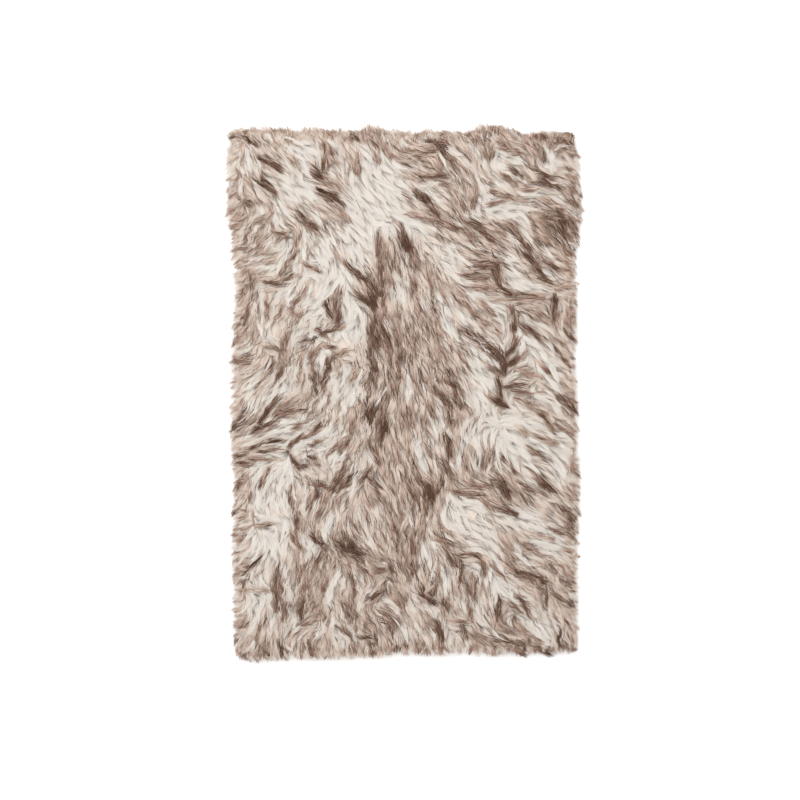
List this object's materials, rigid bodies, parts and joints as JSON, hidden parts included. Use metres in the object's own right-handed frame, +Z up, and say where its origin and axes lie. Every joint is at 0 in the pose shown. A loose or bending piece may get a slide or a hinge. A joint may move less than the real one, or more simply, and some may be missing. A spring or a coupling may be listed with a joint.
{
  "type": "long-pile fur rug",
  "caption": "Flat rectangular long-pile fur rug: a lumpy slab of combed hair on a flat underside, with ragged locks standing out all round its rim.",
  "frame": {"origin": "middle of the flat underside, on the floor", "axes": "+Z up through the pile, +Y along the rug's length, towards the top of the picture; +X across its width"},
  "size_m": [0.6206, 0.93, 0.0444],
  "materials": {
    "fur": "long soft pile, cream towards the roots and brown at the tips"
  },
  "bodies": {
    "root": {"fur_pile": "fur"}
  },
  "joints": []
}
